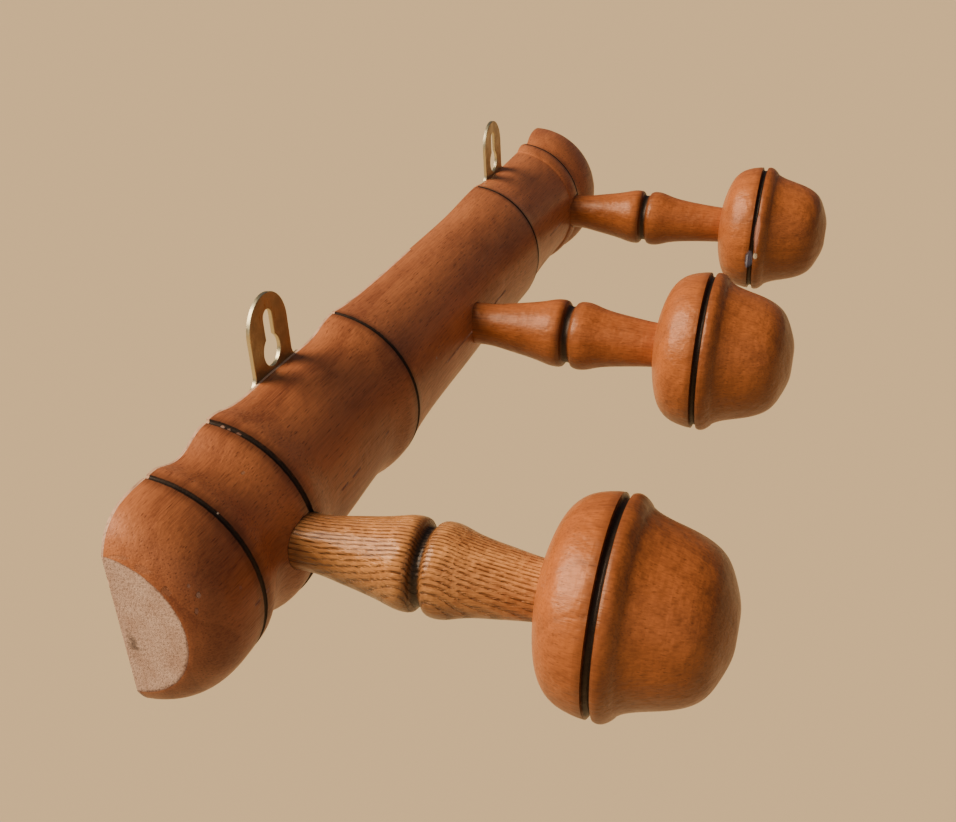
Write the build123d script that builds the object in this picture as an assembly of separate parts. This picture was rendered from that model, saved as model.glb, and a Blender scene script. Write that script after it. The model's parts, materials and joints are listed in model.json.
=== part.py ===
from build123d import *
import math
import os

# Wall peg rail in the faux bamboo style, millimetres.
# A turned beech spindle is sawn lengthwise, so its back is flat. Three turned
# pegs are glued into its front, and two keyhole plates are screwed to its back.
#
# Frame: +X along the rail, +Z up, +Y into the wall. The wall is the plane Y = 0.
# The origin is midway between the round openings of the two keyhole plates.

# ---- keyhole plates ---------------------------------------------------------
PLATE_THICKNESS = 1.2
PLATE_SPACING = 182.0        # between the two keyholes
TAB_WIDTH = 18.8             # the tongue that stands above the rail
TAB_TOP = 15.4               # top of the tongue above the round opening's centre
HOLE_RADIUS = 4.15           # round opening that passes over a wall screw's head
SLOT_WIDTH = 4.4             # slot that drops onto the wall screw's neck
SLOT_TOP = 11.2              # top of the slot above the round opening's centre
SHOULDER_TOP = -3.2          # where the tongue starts to flare into its base
SHOULDER_RADIUS = 2.8
BASE_WIDTH = 31.0
BASE_BOTTOM = -22.0
BASE_CORNER = 3.0
PLATE_EDGE_BREAK = 0.2       # rounded edge left by tumbling

# ---- wood screws, two per plate ---------------------------------------------
SCREW_SPACING = 19.0
SCREW_DROP = -14.0           # screws below the round opening's centre
SCREW_HEAD_RADIUS = 2.75
SCREW_HEAD_DEPTH = 1.15
SCREW_SINK = 0.05            # head below the plate's back, so it clears the wall
SCREW_SHANK_RADIUS = 1.5
SCREW_LENGTH = 14.0
SCREW_TIP = 3.0
DRIVE_SLOT_WIDTH = 0.8
DRIVE_SLOT_DEPTH = 0.5
SCREW_CLEARANCE = 0.06

# ---- rail -------------------------------------------------------------------
RAIL_AXIS_DROP = 29.8        # turning axis below the round openings
SAW_OFFSET = 1.8             # the saw cut passes this far in front of that axis
RAIL_START = -166.2
RAIL_END = 167.0
RAIL_NODES = (-148.3, -124.2, -57.7, 68.0, 131.5)    # the scorched grooves
GROOVE_WIDTH = 1.3
GROOVE_DEPTH = 0.55
START_RADIUS = 18.4          # the flat sawn end
CAP_FACE_RADIUS = 15.0       # the flat at the rounded end

# ---- pegs, measured along each peg from the rail's turning axis -------------
# Turned and bored by eye, so each peg differs a little. Columns: place along the rail,
# height above its turning axis, extra length of the outer cone, degrees of droop.
PEGS = {
    "left": (-127.1, 0.6, 0.0, 2.8),
    "middle": (1.0, 0.9, 1.1, 2.0),
    "right": (128.3, -0.2, 4.6, 2.4),
}
ROOT_RADIUS = 6.9            # also the tenon in the rail
ROOT_START = 8.0             # inner end of that tenon
WAIST_GROOVE = 56.4          # groove between the stem's two cones
WAIST_GROOVE_RADIUS = 9.2
STEM_MAX_RADIUS = 11.1
NECK_RADIUS = 7.1            # where the stem meets the knob
KNOB_BACK = 83.6
KNOB_GROOVE = 98.6
KNOB_RADIUS = 24.6
KNOB_FRONT = 125.3
KNOB_TENON_RADIUS = 5.0
KNOB_TENON_LENGTH = 18.0
TENON_CLEARANCE = 0.05
SOCKET_END_GAP = 0.5         # room for glue beyond each tenon

WOOD_BACK = -PLATE_THICKNESS
RAIL_AXIS_Y = WOOD_BACK + SAW_OFFSET
SIDES = {"left": -PLATE_SPACING / 2, "right": PLATE_SPACING / 2}


def solid_of_turning(outline, start, end):
    """A solid turned about X, from an outline of edges that runs from start to end."""
    first = Line((start[0], 0), start)
    last = Line(end, (end[0], 0))
    axis_line = Line((end[0], 0), (start[0], 0))
    face = make_face([first, *outline, last, axis_line])
    return revolve(face, Axis.X, 360)


def groove(x, r_before, r_after):
    """A round-bottomed groove cut into the outline at x."""
    bottom = min(r_before, r_after) - GROOVE_DEPTH
    return ThreePointArc(
        (x - GROOVE_WIDTH / 2, r_before), (x, bottom), (x + GROOVE_WIDTH / 2, r_after)
    )


def rail_outline():
    """Radius of the spindle along X: a swelling on both sides of every groove."""
    g1, g2, g3, g4, g5 = RAIL_NODES
    half = GROOVE_WIDTH / 2
    dome = Spline(
        (RAIL_START, START_RADIUS), (g1 - 15.6, 22.4), (g1 - 12.0, 25.1),
        (g1 - 6.5, 26.4), (g1 - half, 26.5),
    )
    cove = Spline(
        (g1 + half, 26.5), (g1 + 3.4, 26.4), (g1 + 8.4, 24.7), (g1 + 12.2, 24.3),
        (g1 + 16.4, 25.4), (g1 + 20.0, 26.7), (g2 - half, 26.9),
    )
    short_segment = Spline(
        (g2 + half, 27.2), (g2 + 3.4, 27.1), (g2 + 8.5, 25.9), (g2 + 26.0, 24.9),
        (g2 + 46.0, 24.4), (g3 - 11.0, 24.9), (g3 - 5.5, 26.1), (g3 - half, 26.5),
    )
    long_segment = Spline(
        (g3 + half, 26.5), (g3 + 4.5, 26.0), (g3 + 14.0, 25.3), (g3 + 62.0, 24.8),
        (g4 - 26.0, 25.1), (g4 - 11.0, 26.0), (g4 - half, 26.3),
    )
    end_segment = Spline(
        (g4 + half, 26.2), (g4 + 5.0, 25.5), (g4 + 16.0, 24.9), (g4 + 36.0, 24.7),
        (g5 - 8.6, 25.1),
    )
    ledge = Line((g5 - 8.6, 25.1), (g5 - 8.2, 25.6))
    bead = Spline((g5 - 8.2, 25.6), (g5 - 4.5, 26.5), (g5 - half, 26.4))
    neck = Spline((g5 + half, 26.3), (g5 + 3.6, 25.2), (g5 + 6.0, 25.4))
    cap = Spline(
        (g5 + 6.0, 25.4), (g5 + 9.5, 27.2), (g5 + 16.0, 28.3), (g5 + 23.5, 27.6),
        (g5 + 30.5, 23.9), (RAIL_END, CAP_FACE_RADIUS),
    )
    return [
        dome, groove(g1, 26.5, 26.5), cove, groove(g2, 26.9, 27.2), short_segment,
        groove(g3, 26.5, 26.5), long_segment, groove(g4, 26.3, 26.2), end_segment,
        ledge, bead, groove(g5, 26.4, 26.3), neck, cap,
    ]


def peg_location(name):
    """Turned parts lie along X: this stands them out of the rail, along -Y."""
    x, rise, _, droop = PEGS[name]
    foot = Location((x, RAIL_AXIS_Y, rise - RAIL_AXIS_DROP), (droop, 0, 0))
    return foot * Location((0, 0, 0), (0, 0, -90))


def stem(reach):
    """A peg's stem: two flared cones that meet at a groove, with a tenon at each end."""
    waist = WAIST_GROOVE
    shoulder = KNOB_BACK + reach
    tenon_end = shoulder + KNOB_TENON_LENGTH
    outline = [
        Line((ROOT_START, ROOT_RADIUS - 0.8), (ROOT_START + 0.8, ROOT_RADIUS)),
        Line((ROOT_START + 0.8, ROOT_RADIUS), (28.0, ROOT_RADIUS)),
        Spline(
            (28.0, ROOT_RADIUS), (36.0, 7.9), (47.8, 10.2), (waist - 3.4, STEM_MAX_RADIUS),
            (waist - 1.4, 10.3), tangents=[(1, 0), (0.35, -1)],
        ),
        ThreePointArc((waist - 1.4, 10.3), (waist, WAIST_GROOVE_RADIUS), (waist + 1.4, 10.0)),
        Spline(
            (waist + 1.4, 10.0), (waist + 4.2, STEM_MAX_RADIUS), (waist + 9.4, 9.9),
            (waist + 18.6, 8.2), (shoulder, NECK_RADIUS), tangents=[(0.35, 1), (1, -0.06)],
        ),
        Line((shoulder, NECK_RADIUS), (shoulder, KNOB_TENON_RADIUS)),
        Line((shoulder, KNOB_TENON_RADIUS), (tenon_end - 0.8, KNOB_TENON_RADIUS)),
        Line((tenon_end - 0.8, KNOB_TENON_RADIUS), (tenon_end, KNOB_TENON_RADIUS - 0.8)),
    ]
    return solid_of_turning(
        outline, (ROOT_START, ROOT_RADIUS - 0.8), (tenon_end, KNOB_TENON_RADIUS - 0.8)
    )


def knob():
    """A knob: a bun, a groove, a lip and a rounded cone, with a socket in its back."""
    g = KNOB_GROOVE
    outline = [
        Spline(
            (KNOB_BACK, 8.6), (g - 13.6, 14.9), (g - 11.5, 19.7), (g - 8.7, 22.5),
            (g - 4.6, 24.1), (g - 1.0, KNOB_RADIUS), tangents=[(0.12, 1), (1, 0.02)],
        ),
        ThreePointArc((g - 1.0, KNOB_RADIUS), (g, KNOB_RADIUS - 1.3), (g + 1.0, KNOB_RADIUS)),
        Spline(
            (g + 1.0, KNOB_RADIUS), (g + 2.6, KNOB_RADIUS + 0.1), (g + 4.2, 23.7),
            (g + 5.2, 22.5), tangents=[(0.5, 0.3), (0.5, -1)],
        ),
        Spline(
            (g + 5.2, 22.5), (g + 7.4, 21.3), (g + 13.0, 19.6), (g + 18.2, 17.8),
            (g + 22.0, 15.2), (g + 24.9, 10.2), (KNOB_FRONT, 3.5),
            tangents=[(1, -0.8), (0.03, -1)],
        ),
    ]
    body = solid_of_turning(outline, (KNOB_BACK, 8.6), (KNOB_FRONT, 3.5))
    depth = KNOB_TENON_LENGTH + SOCKET_END_GAP
    socket = Cylinder(
        KNOB_TENON_RADIUS + TENON_CLEARANCE, depth, align=(Align.CENTER, Align.CENTER, Align.MIN)
    )
    return body - Location((KNOB_BACK, 0, 0), (0, 90, 0)) * socket


def screw_outline_solid(extra):
    """A countersunk wood screw along -Y from its head; extra widens it into its hole."""
    head, shank = SCREW_HEAD_RADIUS + extra, SCREW_SHANK_RADIUS + extra
    tip = SCREW_LENGTH + extra
    outline = [
        Line((0, head), (SCREW_HEAD_DEPTH, shank)),
        Line((SCREW_HEAD_DEPTH, shank), (SCREW_LENGTH - SCREW_TIP, shank)),
        Line((SCREW_LENGTH - SCREW_TIP, shank), (tip, 0.2)),
    ]
    body = solid_of_turning(outline, (0, head), (tip, 0.2))
    return Location((0, 0, 0), (0, 0, -90)) * body


def screw_places(side):
    """Centres of the two heads on one plate, outer end of the rail first."""
    outward = -1 if side == "left" else 1
    offset = outward * SCREW_SPACING / 2
    return {
        "outer": (SIDES[side] + offset, -SCREW_SINK, SCREW_DROP),
        "inner": (SIDES[side] - offset, -SCREW_SINK, SCREW_DROP),
    }


def screw():
    """One screw with its straight drive slot."""
    slot = Box(2 * SCREW_HEAD_RADIUS + 1, DRIVE_SLOT_DEPTH, DRIVE_SLOT_WIDTH)
    return screw_outline_solid(0.0) - Pos(0, -DRIVE_SLOT_DEPTH / 2, 0) * slot


def plate_outline():
    """Half of the plate's outline, mirrored about its middle line."""
    tab, base = TAB_WIDTH / 2, BASE_WIDTH / 2
    flare = SHOULDER_TOP - SHOULDER_RADIUS
    quarter = math.sqrt(0.5)
    half = [
        ThreePointArc(
            (0, TAB_TOP), (tab * quarter, TAB_TOP - tab * (1 - quarter)), (tab, TAB_TOP - tab)
        ),
        Line((tab, TAB_TOP - tab), (tab, SHOULDER_TOP)),
        ThreePointArc(
            (tab, SHOULDER_TOP),
            (tab + SHOULDER_RADIUS * (1 - quarter), SHOULDER_TOP - SHOULDER_RADIUS * quarter),
            (tab + SHOULDER_RADIUS, flare),
        ),
        Line((tab + SHOULDER_RADIUS, flare), (base - BASE_CORNER, flare)),
        ThreePointArc(
            (base - BASE_CORNER, flare),
            (base - BASE_CORNER * (1 - quarter), flare - BASE_CORNER * (1 - quarter)),
            (base, flare - BASE_CORNER),
        ),
        Line((base, flare - BASE_CORNER), (base, BASE_BOTTOM + BASE_CORNER)),
        ThreePointArc(
            (base, BASE_BOTTOM + BASE_CORNER),
            (base - BASE_CORNER * (1 - quarter), BASE_BOTTOM + BASE_CORNER * (1 - quarter)),
            (base - BASE_CORNER, BASE_BOTTOM),
        ),
        Line((base - BASE_CORNER, BASE_BOTTOM), (0, BASE_BOTTOM)),
    ]
    closing = Line((0, BASE_BOTTOM), (0, TAB_TOP))
    right = make_face([*half, closing])
    return right + mirror(right, Plane.YZ)


def keyhole():
    """The round opening with the slot above it."""
    slot_end = SLOT_TOP - SLOT_WIDTH / 2
    stem_cut = Pos(0, slot_end / 2) * Rectangle(SLOT_WIDTH, slot_end)
    return Circle(HOLE_RADIUS) + stem_cut + Pos(0, slot_end) * Circle(SLOT_WIDTH / 2)


def plate():
    """One keyhole plate, centred on its round opening, its back on the wall."""
    flat = plate_outline() - keyhole()
    blank = extrude(Plane.XZ * flat, PLATE_THICKNESS)
    rims = blank.edges().filter_by(lambda e: abs(e.bounding_box().size.Y) < 1e-6)
    blank = fillet(rims, PLATE_EDGE_BREAK)
    for offset in (-SCREW_SPACING / 2, SCREW_SPACING / 2):
        place = Pos(offset, -SCREW_SINK, SCREW_DROP)
        blank = blank - place * screw_outline_solid(SCREW_CLEARANCE)
        blank = blank - Pos(offset, 0, SCREW_DROP) * Cylinder(
            SCREW_HEAD_RADIUS + SCREW_CLEARANCE, 2 * SCREW_SINK, rotation=(90, 0, 0)
        )
    return blank


def rail():
    """The sawn spindle, with a socket for each peg and a pilot hole for each screw."""
    start, end = (RAIL_START, START_RADIUS), (RAIL_END, CAP_FACE_RADIUS)
    spindle = Pos(0, RAIL_AXIS_Y, -RAIL_AXIS_DROP) * solid_of_turning(rail_outline(), start, end)
    length = RAIL_END - RAIL_START
    waste = Box(length + 40, 80, 80, align=(Align.CENTER, Align.MIN, Align.CENTER))
    body = spindle - Pos(0, WOOD_BACK, -RAIL_AXIS_DROP) * waste
    for name in PEGS:
        socket = Cylinder(
            ROOT_RADIUS + TENON_CLEARANCE, 40, align=(Align.CENTER, Align.CENTER, Align.MIN)
        )
        inner_end = ROOT_START - SOCKET_END_GAP
        body = body - peg_location(name) * Location((inner_end, 0, 0), (0, 90, 0)) * socket
    for side in SIDES:
        for place in screw_places(side).values():
            body = body - Pos(*place) * screw_outline_solid(SCREW_CLEARANCE)
    return body


def build():
    """Every piece in its place, by node name."""
    pieces = {"rail": rail()}
    for name, (_, _, reach, _) in PEGS.items():
        pieces[f"peg_stem_{name}"] = peg_location(name) * stem(reach)
        pieces[f"knob_{name}"] = peg_location(name) * Pos(reach, 0, 0) * knob()
    for side, x in SIDES.items():
        pieces[f"keyhole_plate_{side}"] = Pos(x, 0, 0) * plate()
        for place_name, place in screw_places(side).items():
            pieces[f"plate_screw_{side}_{place_name}"] = Pos(*place) * screw()
    return pieces


os.makedirs("parts", exist_ok=True)
for node, shape in build().items():
    export_step(shape, f"parts/{node}.step")
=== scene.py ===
"""Wall peg rail in the faux bamboo style, dressed over its CAD frame.

A turned beech spindle is sawn flat at the back and hung by two keyhole plates. Three
turned pegs stand out of it, each a waisted stem with a bun knob. Lengths are in
millimetres up to the mesh, which is in metres like the CAD frame.
"""

import json
import logging
import math
from dataclasses import dataclass, field
from enum import Enum

import bmesh
import bpy
import numpy as np
from mathutils import Euler, Matrix, Vector

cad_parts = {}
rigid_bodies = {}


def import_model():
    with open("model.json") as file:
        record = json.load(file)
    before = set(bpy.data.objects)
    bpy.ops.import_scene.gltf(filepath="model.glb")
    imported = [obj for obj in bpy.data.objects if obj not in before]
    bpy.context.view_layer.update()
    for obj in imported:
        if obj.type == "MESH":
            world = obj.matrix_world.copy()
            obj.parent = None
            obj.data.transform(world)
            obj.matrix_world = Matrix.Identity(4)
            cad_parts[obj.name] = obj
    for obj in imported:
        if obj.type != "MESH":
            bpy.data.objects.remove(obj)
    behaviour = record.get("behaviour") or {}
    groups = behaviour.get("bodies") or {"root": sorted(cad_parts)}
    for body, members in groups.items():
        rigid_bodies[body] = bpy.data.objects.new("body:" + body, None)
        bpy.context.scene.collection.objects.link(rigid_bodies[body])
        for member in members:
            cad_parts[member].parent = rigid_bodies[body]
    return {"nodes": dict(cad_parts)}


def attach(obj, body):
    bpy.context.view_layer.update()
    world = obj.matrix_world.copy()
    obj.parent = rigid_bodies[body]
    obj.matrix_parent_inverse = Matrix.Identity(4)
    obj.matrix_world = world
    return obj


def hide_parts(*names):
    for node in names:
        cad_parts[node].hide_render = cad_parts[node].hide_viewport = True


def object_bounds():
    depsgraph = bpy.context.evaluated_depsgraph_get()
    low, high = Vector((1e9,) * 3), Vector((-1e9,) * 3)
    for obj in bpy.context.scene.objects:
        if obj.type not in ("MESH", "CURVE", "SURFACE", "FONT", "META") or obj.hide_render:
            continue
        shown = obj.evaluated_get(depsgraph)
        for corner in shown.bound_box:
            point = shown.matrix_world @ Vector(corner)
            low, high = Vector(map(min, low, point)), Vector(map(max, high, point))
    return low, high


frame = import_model()
CAD_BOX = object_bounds()

MM = 0.001
BODY = "root"
SHARP_EDGE = math.radians(38)
SAME_POINT = 2e-6  # metres: points nearer than this are one point
NO_LENGTH = 1e-7  # metres: an edge or a face smaller than this is none
FAR_AWAY = 20.0  # millimetres: what counts as the distance from a groove where none is near
WOOD_RELIEF = 0.2  # millimetres: height of the relief in varnished wood
WOOD_IOR = 1.5
WAVE_LENGTH = 0.314  # length of one wave in a wave pattern whose scale is one
AWAY_FROM_WALL = Euler((0, 0, -math.pi / 2)).to_matrix().to_4x4()  # lays X along -Y
Tree = bpy.types.NodeTree
Socket = bpy.types.NodeSocket
log = logging.getLogger("peg rail")

# Kinds of node. A range takes its span from inputs 1 and 2 and its ends from 3 and 4. A mix
# takes its share from 0, two vectors from 4 and 5, and two colours from 6 and 7.
MATH, VECTOR, WHOLE = "ShaderNodeMath", "ShaderNodeVectorMath", "FunctionNodeIntegerMath"
RANGE, MIX, NOISE = "ShaderNodeMapRange", "ShaderNodeMix", "ShaderNodeTexNoise"
SPLIT, JOIN, MAPPING = "ShaderNodeSeparateXYZ", "ShaderNodeCombineXYZ", "ShaderNodeMapping"
BUMP, SHADER, OUTPUT = "ShaderNodeBump", "ShaderNodeBsdfPrincipled", "ShaderNodeOutputMaterial"
COMPARE, LOGIC, SWITCH = "FunctionNodeCompare", "FunctionNodeBooleanMath", "GeometryNodeSwitch"
GRID, SAMPLE, MOVE = "GeometryNodeMeshGrid", "GeometryNodeSampleIndex", "GeometryNodeSetPosition"
NAMED, STORE = "GeometryNodeInputNamedAttribute", "GeometryNodeStoreNamedAttribute"
SURFACE = "GeometryNodeSetMaterial"
# Settings that many nodes share.
EASED = {"interpolation_type": "SMOOTHSTEP"}
SEEDED = {"noise_dimensions": "4D"}
AS_PLACE = {"vector_type": "TEXTURE"}


# ---- small tools ------------------------------------------------------------
def colour(code: str) -> tuple[float, float, float, float]:
    """Turns an sRGB hex code to linear light.

    Args:
        code: six hex digits after a hash sign.

    Returns:
        Red, green, blue and an alpha of one.
    """
    parts = [int(code[i : i + 2], 16) / 255 for i in (1, 3, 5)]
    linear = [p / 12.92 if p <= 0.04045 else ((p + 0.055) / 1.055) ** 2.4 for p in parts]
    return (*linear, 1.0)


def metres(lengths: tuple[float, ...]) -> list[float]:
    """Turns lengths in millimetres to metres."""
    return [v * MM for v in lengths]


def add(
    tree: Tree,
    kind: str,
    inputs: dict | None = None,
    out: str | int | None = None,
    **settings: object,
) -> Socket | None:
    """Adds a node with its settings, its values and its links.

    Args:
        tree: the tree that gets the node.
        kind: the node's type.
        inputs: a value or another node's output for each input, by name or number.
        out: name or number of the output that is wanted, or None for the first in use.
        settings: the node's own properties.

    Returns:
        The output, or None for a node that has none.
    """
    node = tree.nodes.new(kind)
    for name, value in settings.items():
        setattr(node, name, value)
    for key, value in (inputs or {}).items():
        if isinstance(value, Socket):
            tree.links.new(value, node.inputs[key])
        else:
            node.inputs[key].default_value = value
    if out is not None:
        return node.outputs[out]
    return next((socket for socket in node.outputs if socket.enabled), None)


def spline(
    knots: list[tuple[float, float]],
    spacing: float,
    leave: tuple[float, float] | None = None,
    arrive: tuple[float, float] | None = None,
) -> list[tuple[float, float]]:
    """Draws the smooth line through some knots, as a turner's template would lie.

    Args:
        knots: distance along the axis and radius of each knot.
        spacing: distance between the points wanted, about.
        leave: direction at the first knot, or None for no bending there.
        arrive: direction at the last knot, or None for no bending there.

    Returns:
        The points, from the first knot to the last.
    """
    at = np.array(knots, float)
    steps = np.linalg.norm(np.diff(at, axis=0), axis=1)
    last = len(knots) - 1
    system = np.zeros((last + 1, last + 1))
    wanted = np.zeros((last + 1, 2))
    slopes = np.diff(at, axis=0) / steps[:, None]
    for i in range(1, last):
        system[i, i - 1 : i + 2] = steps[i - 1], 2 * (steps[i - 1] + steps[i]), steps[i]
        wanted[i] = 6 * (slopes[i] - slopes[i - 1])
    system[0, 0] = system[last, last] = 1
    if leave is not None:
        system[0, :2] = 2 * steps[0], steps[0]
        wanted[0] = 6 * (slopes[0] - np.array(leave) / np.hypot(*leave))
    if arrive is not None:
        system[last, last - 1 :] = steps[-1], 2 * steps[-1]
        wanted[last] = 6 * (np.array(arrive) / np.hypot(*arrive) - slopes[-1])
    bend = np.linalg.solve(system, wanted)
    points = []
    for i in range(last):
        count = max(2, round(steps[i] / spacing))
        for t in np.arange(count) / count * steps[i]:
            back = steps[i] - t
            straight = (at[i] * back + at[i + 1] * t) / steps[i]
            curved = (
                bend[i] * (back**3 / steps[i] - back * steps[i])
                + bend[i + 1] * (t**3 / steps[i] - t * steps[i])
            ) / 6
            points.append(tuple(straight + curved))
    return [*points, tuple(at[-1])]


def hollow(x: float, before: float, after: float, half: float, depth: float) -> list[tuple[float, float]]:
    """Draws the round bottom of a groove.

    Args:
        x: middle of the groove along the axis.
        before: radius at its first lip.
        after: radius at its second lip.
        half: half its width.
        depth: its depth below the lower lip.

    Returns:
        Points between the lips, without them.
    """
    steps = 9
    floor = min(before, after) - depth
    points = []
    for i in range(1, steps):
        turn = math.pi * i / steps
        lip = before + (after - before) * i / steps
        points.append((x - half * math.cos(turn), lip + (floor - lip) * math.sin(turn)))
    return points


def plain_mesh(holder: bpy.types.Object, name: str) -> bpy.types.Object:
    """Turns what an object's modifiers make into a plain mesh object.

    Args:
        holder: the object with live modifiers, which is removed.
        name: name of the new object.

    Returns:
        An object at the origin with that mesh and no modifier.
    """
    graph = bpy.context.evaluated_depsgraph_get()
    mesh = bpy.data.meshes.new_from_object(holder.evaluated_get(graph), depsgraph=graph)
    old = holder.data
    bpy.data.objects.remove(holder)
    if old.users == 0:
        bpy.data.meshes.remove(old)
    mesh.name = name
    made = bpy.data.objects.new(name, mesh)
    bpy.context.scene.collection.objects.link(made)
    return made


def crisp(piece: bpy.types.Object) -> None:
    """Closes a mesh, turns its faces outward and keeps only its real corners sharp.

    Args:
        piece: the object whose mesh is finished.
    """
    work = bmesh.new()
    work.from_mesh(piece.data)
    bmesh.ops.remove_doubles(work, verts=work.verts, dist=SAME_POINT)
    bmesh.ops.dissolve_degenerate(work, dist=NO_LENGTH, edges=work.edges)
    bmesh.ops.recalc_face_normals(work, faces=work.faces)
    for edge in work.edges:
        edge.smooth = edge.calc_face_angle(math.pi) < SHARP_EDGE
    for face in work.faces:
        face.smooth = True
    work.to_mesh(piece.data)
    work.free()
    piece.data.update()


def cut(piece: bpy.types.Object, tools: list[bpy.types.Mesh]) -> bpy.types.Object:
    """Bores or saws a piece with some closed tool shapes.

    Args:
        piece: the object that is cut.
        tools: one closed mesh for each cut.

    Returns:
        The cut object, with the same name.
    """
    name = piece.name
    for i, tool in enumerate(tools):
        cutter = bpy.data.objects.new(f"{name}_tool_{i}", tool)
        bpy.context.scene.collection.objects.link(cutter)
        cutter.hide_render = True
        job = piece.modifiers.new(f"cut_{i}", "BOOLEAN")
        job.operation, job.solver, job.object = "DIFFERENCE", "EXACT", cutter
    piece.name = f"{name}_uncut"
    made = plain_mesh(piece, name)
    for i in range(len(tools)):
        bpy.data.objects.remove(bpy.data.objects[f"{name}_tool_{i}"])
    return made


def rod(radius: float, length: float, place: Matrix, sides: int = 72) -> bpy.types.Mesh:
    """Makes a drill's shape: a closed rod that starts at a place and runs along its X.

    Args:
        radius: its radius in millimetres.
        length: its length in millimetres.
        place: where its first end is and how it is turned, in metres.
        sides: faces round it.

    Returns:
        The mesh, in metres.
    """
    work = bmesh.new()
    bmesh.ops.create_cone(
        work, cap_ends=True, segments=sides, radius1=radius * MM, radius2=radius * MM,
        depth=length * MM,
    )
    lay = Euler((0, math.pi / 2, 0)).to_matrix().to_4x4()
    lay = Matrix.Translation((length * MM / 2, 0, 0)) @ lay
    bmesh.ops.transform(work, matrix=place @ lay, verts=work.verts)
    mesh = bpy.data.meshes.new("rod")
    work.to_mesh(mesh)
    work.free()
    return mesh


# ---- finishes ---------------------------------------------------------------
def blank_material(name: str) -> tuple[bpy.types.Material, Tree]:
    """Makes a material with an empty tree.

    Args:
        name: its name.

    Returns:
        The material and its tree.
    """
    material = bpy.data.materials.new(name)
    material.use_nodes = True
    material.node_tree.nodes.clear()
    return material, material.node_tree


def from_pith(tree: Tree, along: Socket) -> Socket:
    """Measures how far a place lies from the pith.

    Args:
        tree: the material's tree.
        along: the position from a point of the pith, with X along the grain.

    Returns:
        The distance, in the position's unit.
    """
    split = add(tree, SPLIT, {0: along}).node.outputs
    across = add(tree, JOIN, {"Y": split["Y"], "Z": split["Z"]})
    return add(tree, VECTOR, {0: across}, out="Value", operation="LENGTH")


@dataclass(frozen=True)
class Worn:
    """A place where the finish is rubbed or chipped through."""

    at: tuple[float, float, float]
    size: tuple[float, float, float]
    shade: str = "#C79A72"
    strength: float = 0.8
    ragged: float = 1.0


@dataclass(frozen=True)
class GrainPlace:
    """Where a billet's pith is and which way its grain runs: X is along the grain."""

    pith: tuple[float, float, float]
    turn: tuple[float, float, float] = (0.0, 0.0, 0.0)


@dataclass(frozen=True)
class Figure:
    """A wood's patterns, each as the output that draws it."""

    cloud: Socket
    fibre: Socket
    streak: Socket
    ring: Socket
    dash: Socket


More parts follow.
